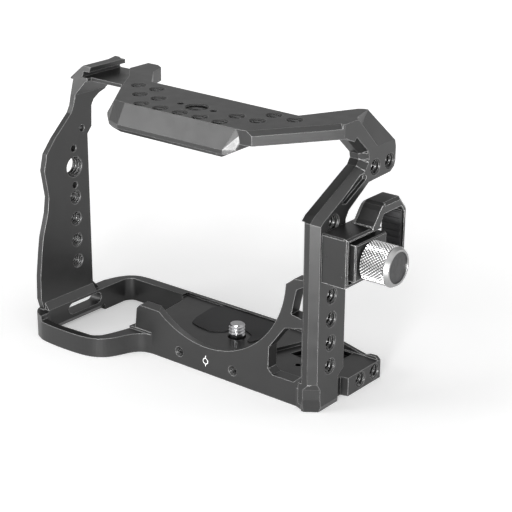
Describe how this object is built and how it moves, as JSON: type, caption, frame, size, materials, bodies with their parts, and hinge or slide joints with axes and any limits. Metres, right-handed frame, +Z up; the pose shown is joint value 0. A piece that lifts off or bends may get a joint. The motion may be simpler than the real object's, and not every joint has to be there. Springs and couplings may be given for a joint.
{
  "type": "camera cage",
  "caption": "Machined camera cage with cold shoe, grip loop, accessory holes, captive camera screw and a sliding plug clamp locked by a knurled knob.",
  "frame": {"origin": "on the camera screw axis at the underside of the base", "axes": "+X across the cage towards the clamp, +Y from the lens side to the back, +Z up along the camera screw"},
  "size_m": [0.1591, 0.064, 0.1065],
  "materials": {
    "frame_black": "black anodised, fine bead-blasted matte",
    "clamp_black": "black anodised, fine bead-blasted matte",
    "jaw_black": "black anodised, bright worn edges",
    "pad_rubber": "matte black",
    "screw_steel": "bright turned steel",
    "bolt_dark": "black oxide",
    "ring_steel": "plain steel",
    "washer_nylon": "white nylon",
    "knob_silver": "silver, cross-knurled with polished rim",
    "cap_grey": "dark grey matte"
  },
  "bodies": {
    "cage": {"cage_frame": "frame_black", "camera_pad": "pad_rubber", "screw_ring": "ring_steel", "clamp_body": "clamp_black", "clamp_screw": "bolt_dark", "clamp_pin": "ring_steel", "hook_lining": "pad_rubber"},
    "screw_carrier": {"screw_washer": "washer_nylon"},
    "screw": {"camera_screw": "screw_steel"},
    "jaw": {"clamp_jaw": "jaw_black", "jaw_lining": "pad_rubber", "slot_nut": "ring_steel"},
    "knob_carrier": {"knob_washer": "ring_steel"},
    "knob": {"clamp_knob": "knob_silver", "knob_stud": "ring_steel", "knob_cap": "cap_grey"}
  },
  "joints": [
    {"name": "screw_drop", "type": "slide", "parent": "cage", "child": "screw_carrier", "axis": [0, 0, 1], "range_m": [-0.0025, 0]},
    {"name": "screw_turn", "type": "hinge", "parent": "screw_carrier", "child": "screw", "pos_m": [0, 0, 0.009], "axis": [0, 0, 1], "continuous": true},
    {"name": "jaw_slide", "type": "slide", "parent": "cage", "child": "jaw", "axis": [0, 1, 0], "range_m": [0, 0.006]},
    {"name": "knob_draw", "type": "slide", "parent": "jaw", "child": "knob_carrier", "axis": [1, 0, 0], "range_m": [0, 0.00106]},
    {"name": "knob_turn", "type": "hinge", "parent": "knob_carrier", "child": "knob", "pos_m": [0.06665, -0.0081, 0.0601], "axis": [1, 0, 0], "range_deg": [0, 540]}
  ],
  "couplings": [
    {"joint": "knob_draw", "follows": "knob_turn", "m_per_rad": 0.00011141}
  ]
}
